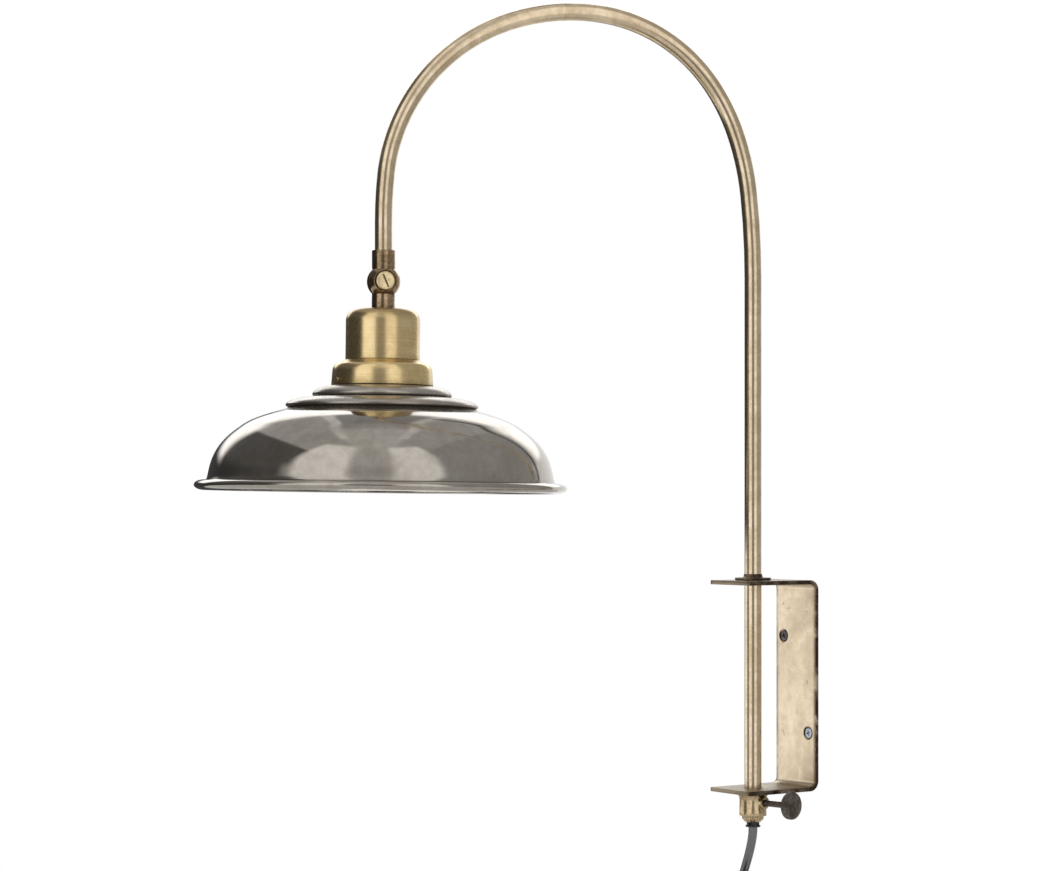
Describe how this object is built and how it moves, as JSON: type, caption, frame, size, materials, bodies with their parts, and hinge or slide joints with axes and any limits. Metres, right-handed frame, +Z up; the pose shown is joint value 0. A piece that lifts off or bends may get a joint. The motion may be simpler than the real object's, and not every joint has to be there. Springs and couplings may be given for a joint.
{
  "type": "swing arm wall sconce",
  "caption": "Hooked brass tube that swings in a wall bracket, locked by a thumb screw, with a tilting tiered metal shade and a plug-in cord.",
  "frame": {"origin": "centre of the bracket's back face, on the wall plane", "axes": "+Z up, +Y into the wall, +X to the right when facing the wall; the arm is stored swung 23.7 degrees towards -X"},
  "size_m": [0.3243, 0.4838, 0.8935],
  "materials": {
    "antique_brass": "antiqued and lacquered, streaked, darker at the edges",
    "satin_brass": "spun and brushed round its axis",
    "dark_brass": "dark bronzed casting, worn to copper on the high spots",
    "screw_brass": "bright, lightly marked",
    "bare_brass": "plain bright stamping",
    "dark_steel": "blackened and worn",
    "zinc_steel": "bright zinc plated",
    "polished_pewter": "polished antique nickel, mottled, mirror-like",
    "black_phenolic": "moulded phenolic",
    "black_rubber": "moulded soft plastic",
    "black_flex": "glossy extruded twin flex",
    "fibre": "pressed fibre washer"
  },
  "bodies": {
    "mount": {"bracket": "antique_brass", "wall_screw_upper": "dark_steel", "wall_screw_lower": "zinc_steel", "lock_collar": "dark_brass", "cord_bush": "black_rubber", "cord_drop": "black_flex", "cord_coil": "black_flex", "cord_tail": "black_flex", "cord_tie": "black_rubber", "plug_body": "black_rubber", "plug_blade_1": "bare_brass", "plug_blade_2": "bare_brass"},
    "arm": {"arm_tube": "antique_brass", "stop_washer": "antique_brass", "inner_flex": "black_flex", "knuckle_upper": "dark_brass", "pivot_screw": "screw_brass", "pivot_nut": "screw_brass", "friction_washer_near": "fibre", "friction_washer_far": "fibre"},
    "head": {"knuckle_lower": "dark_brass", "lock_nut": "zinc_steel", "holder_cup": "satin_brass", "gallery_ring": "satin_brass", "gallery_screw_1": "dark_steel", "gallery_screw_2": "dark_steel", "gallery_screw_3": "dark_steel", "shade": "polished_pewter", "lampholder_body": "black_phenolic", "lampholder_shell": "bare_brass", "lampholder_contact": "bare_brass", "shade_clamp_ring": "black_phenolic", "holder_leads": "black_flex"},
    "thumb": {"thumb_screw": "dark_steel"}
  },
  "joints": [
    {"name": "arm_swing", "type": "hinge", "parent": "mount", "child": "arm", "pos_m": [0, -0.05, 0], "axis": [0, 0, 1], "range_deg": [-46.3, 93.7]},
    {"name": "shade_tilt", "type": "hinge", "parent": "arm", "child": "head", "pos_m": [-0.12393, -0.33232, 0.32924], "axis": [0.9157, -0.4019, 0], "range_deg": [-84.3, 85.7]},
    {"name": "thumb_turn", "type": "hinge", "parent": "mount", "child": "thumb", "pos_m": [0, -0.05, -0.0958], "axis": [0.9848, 0.1736, 0], "range_deg": [0, 720]}
  ]
}
